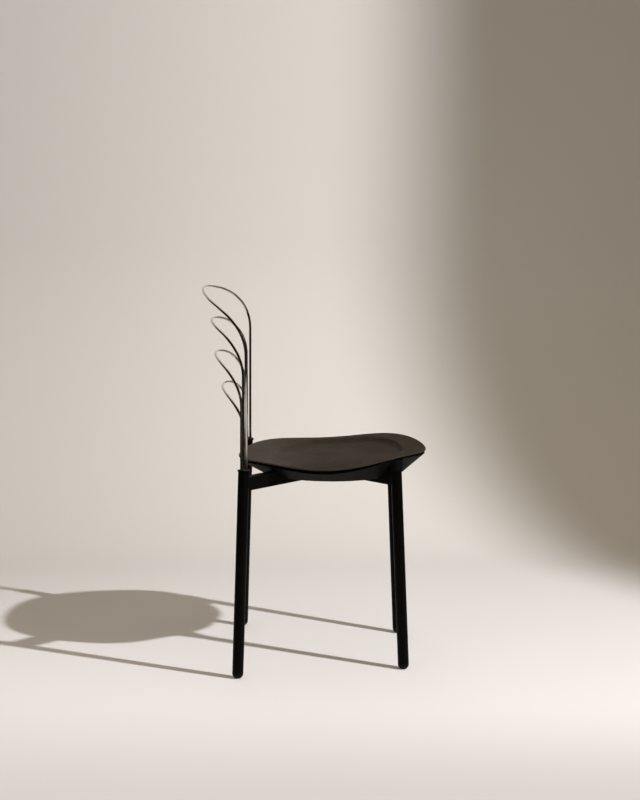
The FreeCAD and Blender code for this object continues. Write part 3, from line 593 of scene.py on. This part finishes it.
class HoopChairStudio(bpy.types.PropertyGroup):
    """Sizes, light and camera of the studio."""
    floor_reach: length_setting("Floor reach", "How far the floor runs each way", 9.0)
    cove_start: length_setting("Cove start", "Where the floor starts to curve", 0.9)
    cove_radius: length_setting("Cove radius", "Radius of the curve between floor and wall", 0.8)
    wall_height: length_setting("Wall height", "Height of the wall", 5.0)
    floor_colour: colour_setting("Floor", "Colour of the floor", (0.885, 0.89, 0.92))
    # Painted shade: a darker, warmer colour that stands in for the lamp's falloff up the wall
    wall_painted_shade_colour: colour_setting("Wall", "Colour of the upper wall", (0.63, 0.62, 0.605))
    # Painted shade: how much the nearest floor and the wall's left are darkened
    floor_near_painted_shade: share_setting("Floor near",
                                    "What the nearest floor keeps of its colour", 0.72)
    wall_left_painted_shade: share_setting("Wall left",
                                   "What the left of the wall keeps of its colour", 0.8)
    backdrop_colour: colour_setting("Beyond", "Colour that the camera sees past the wall",
                                    (0.76, 0.70, 0.65))
    room_colour: colour_setting("Room", "Colour of the fill from the room", (1.0, 0.80, 0.58))
    room_dark_colour: colour_setting("Room behind", "Colour of the room behind the camera",
                                     (0.85, 0.73, 0.56))
    # Painted shade: also the near-black colour of the cove past the lit set, for every ray but the
    # camera's
    room_mirror_colour: colour_setting("Room in the metal", "What the metal mirrors of the room",
                                       (0.020, 0.016, 0.011))
    room_strength: bpy.props.FloatProperty(name="Room strength", default=0.48, min=0.0,
                                           description="Strength of the fill from the room")
    key_place: bpy.props.FloatVectorProperty(name="Key place", default=(2.02, -1.30, 2.23),
                                             size=3, subtype="TRANSLATION", unit="LENGTH",
                                             description="Place of the key lamp from the seat")
    key_size: length_setting("Key size", "Radius of the key lamp", 0.035)
    key_strength: bpy.props.FloatProperty(name="Key strength", default=36.0, min=0.0,
                                          description="Strength of the key lamp")
    door_normal: bpy.props.FloatVectorProperty(name="Barn door", default=(0.883, 0.470, 0.0),
                                               size=3, subtype="DIRECTION",
                                               description="Square to the barn door's plane")
    door_open: bpy.props.FloatProperty(name="Door open", default=-0.105,
                                       description="Where the barn door's shade begins")
    door_shut: bpy.props.FloatProperty(name="Door shut", default=0.017,
                                       description="Where the barn door's shade is full")
    key_colour: colour_setting("Key colour", "Colour of the key lamp", (1.0, 0.97, 0.955))
    camera_place: bpy.props.FloatVectorProperty(name="Camera place",
                                                default=(-0.0695, -5.773, 1.499), size=3,
                                                subtype="TRANSLATION", unit="LENGTH",
                                                description="Place of the camera from the seat")
    camera_tilt: bpy.props.FloatProperty(name="Camera tilt", default=0.15609, unit="ROTATION",
                                         description="How far the camera looks down")
    camera_turn: bpy.props.FloatProperty(name="Camera turn", default=0.00716, unit="ROTATION",
                                         description="How far the camera turns to the front")
    camera_focal_pixels: bpy.props.FloatProperty(name="Focal length", default=2546.4,
                                                 description="Focal length in pixels")


class HOOPCHAIR_OT_seat(bpy.types.Operator):
    """Finish the seat's shell and skirt"""
    bl_idname = "hoopchair.seat"
    bl_label = "Finish Seat"

    def execute(self, context):
        finishes = context.scene.hoop_chair_finishes
        give(seat_finish(finishes), SEAT_NODES)
        give(plastic_finish(finishes, "skirt_satin", finishes.skirt_colour,
                            SKIRT_ROUGHNESS, finishes.skirt_specular), SKIRT_NODES)
        return {"FINISHED"}


class HOOPCHAIR_OT_frame(bpy.types.Operator):
    """Finish the tube legs, the crossed bars and the plate"""
    bl_idname = "hoopchair.frame"
    bl_label = "Finish Frame"

    def execute(self, context):
        finishes = context.scene.hoop_chair_finishes
        give(paint_finish(finishes, "leg_paint", finishes.paint_colour, LEG_ROUGHNESS),
             TUBE_NODES)
        give(paint_finish(finishes, "bar_paint", finishes.bar_colour, BAR_ROUGHNESS),
             BAR_NODES)
        return {"FINISHED"}


class HOOPCHAIR_OT_plugs(bpy.types.Operator):
    """Finish the glides, the rear caps and the front pads"""
    bl_idname = "hoopchair.plugs"
    bl_label = "Finish Plugs"

    def execute(self, context):
        finishes = context.scene.hoop_chair_finishes
        colour, shine = finishes.plastic_colour, finishes.plastic_specular
        give(plastic_finish(finishes, "glide_plastic", colour, GLIDE_ROUGHNESS, shine,
                            scuffed=True), GLIDE_NODES)
        give(plastic_finish(finishes, "cap_plastic", colour, CAP_ROUGHNESS, shine), CAP_NODES)
        give(plastic_finish(finishes, "pad_rubber", colour, PAD_ROUGHNESS, shine), PAD_NODES)
        return {"FINISHED"}


class HOOPCHAIR_OT_hoops(bpy.types.Operator):
    """Finish the wire hoops of the back"""
    bl_idname = "hoopchair.hoops"
    bl_label = "Finish Hoops"

    def execute(self, context):
        give(chrome_finish(context.scene.hoop_chair_finishes), HOOP_NODES)
        return {"FINISHED"}


class HOOPCHAIR_OT_screws(bpy.types.Operator):
    """Finish the screws under the seat"""
    bl_idname = "hoopchair.screws"
    bl_label = "Finish Screws"

    def execute(self, context):
        give(zinc_finish(context.scene.hoop_chair_finishes), SCREW_NODES)
        return {"FINISHED"}


class HOOPCHAIR_OT_stage(bpy.types.Operator):
    """Build the studio's cove, lamp and camera"""
    bl_idname = "hoopchair.stage"
    bl_label = "Build Studio"

    def execute(self, context):
        settings = context.scene.hoop_chair_studio
        cove = bpy.data.objects.new("studio_cove", studio_mesh(settings))
        cove.data.materials.append(cove_finish(settings))
        context.scene.collection.objects.link(cove)
        studio_world(settings)
        key_lamp(settings)
        camera(settings)
        context.scene.view_settings.view_transform = "Standard"
        return {"FINISHED"}


OPERATORS = (HOOPCHAIR_OT_seat, HOOPCHAIR_OT_frame, HOOPCHAIR_OT_plugs, HOOPCHAIR_OT_hoops,
             HOOPCHAIR_OT_screws, HOOPCHAIR_OT_stage)


class HOOPCHAIR_PT_panel(bpy.types.Panel):
    """Finishes and studio of the hoop-back chair"""
    bl_idname = "HOOPCHAIR_PT_panel"
    bl_label = "Hoop-Back Chair"
    bl_space_type = "VIEW_3D"
    bl_region_type = "UI"
    bl_category = "Hoop Chair"

    def draw(self, context):
        layout = self.layout
        for group in (context.scene.hoop_chair_finishes, context.scene.hoop_chair_studio):
            box = layout.box()
            for name in group.bl_rna.properties.keys():
                if name not in ("rna_type", "name"):
                    box.prop(group, name)
        for operator in OPERATORS:
            layout.operator(operator.bl_idname)


CLASSES = (HoopChairFinishes, HoopChairStudio) + OPERATORS + (HOOPCHAIR_PT_panel,)


def register():
    for cls in CLASSES:
        bpy.utils.register_class(cls)
    bpy.types.Scene.hoop_chair_finishes = bpy.props.PointerProperty(type=HoopChairFinishes)
    bpy.types.Scene.hoop_chair_studio = bpy.props.PointerProperty(type=HoopChairStudio)


def unregister():
    del bpy.types.Scene.hoop_chair_studio
    del bpy.types.Scene.hoop_chair_finishes
    for cls in reversed(CLASSES):
        bpy.utils.unregister_class(cls)


def main():
    """Registers the add-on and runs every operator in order."""
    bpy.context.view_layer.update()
    register()
    bpy.ops.hoopchair.seat()
    bpy.ops.hoopchair.frame()
    bpy.ops.hoopchair.plugs()
    bpy.ops.hoopchair.hoops()
    bpy.ops.hoopchair.screws()
    bpy.ops.hoopchair.stage()


if __name__ == "__main__":
    main()
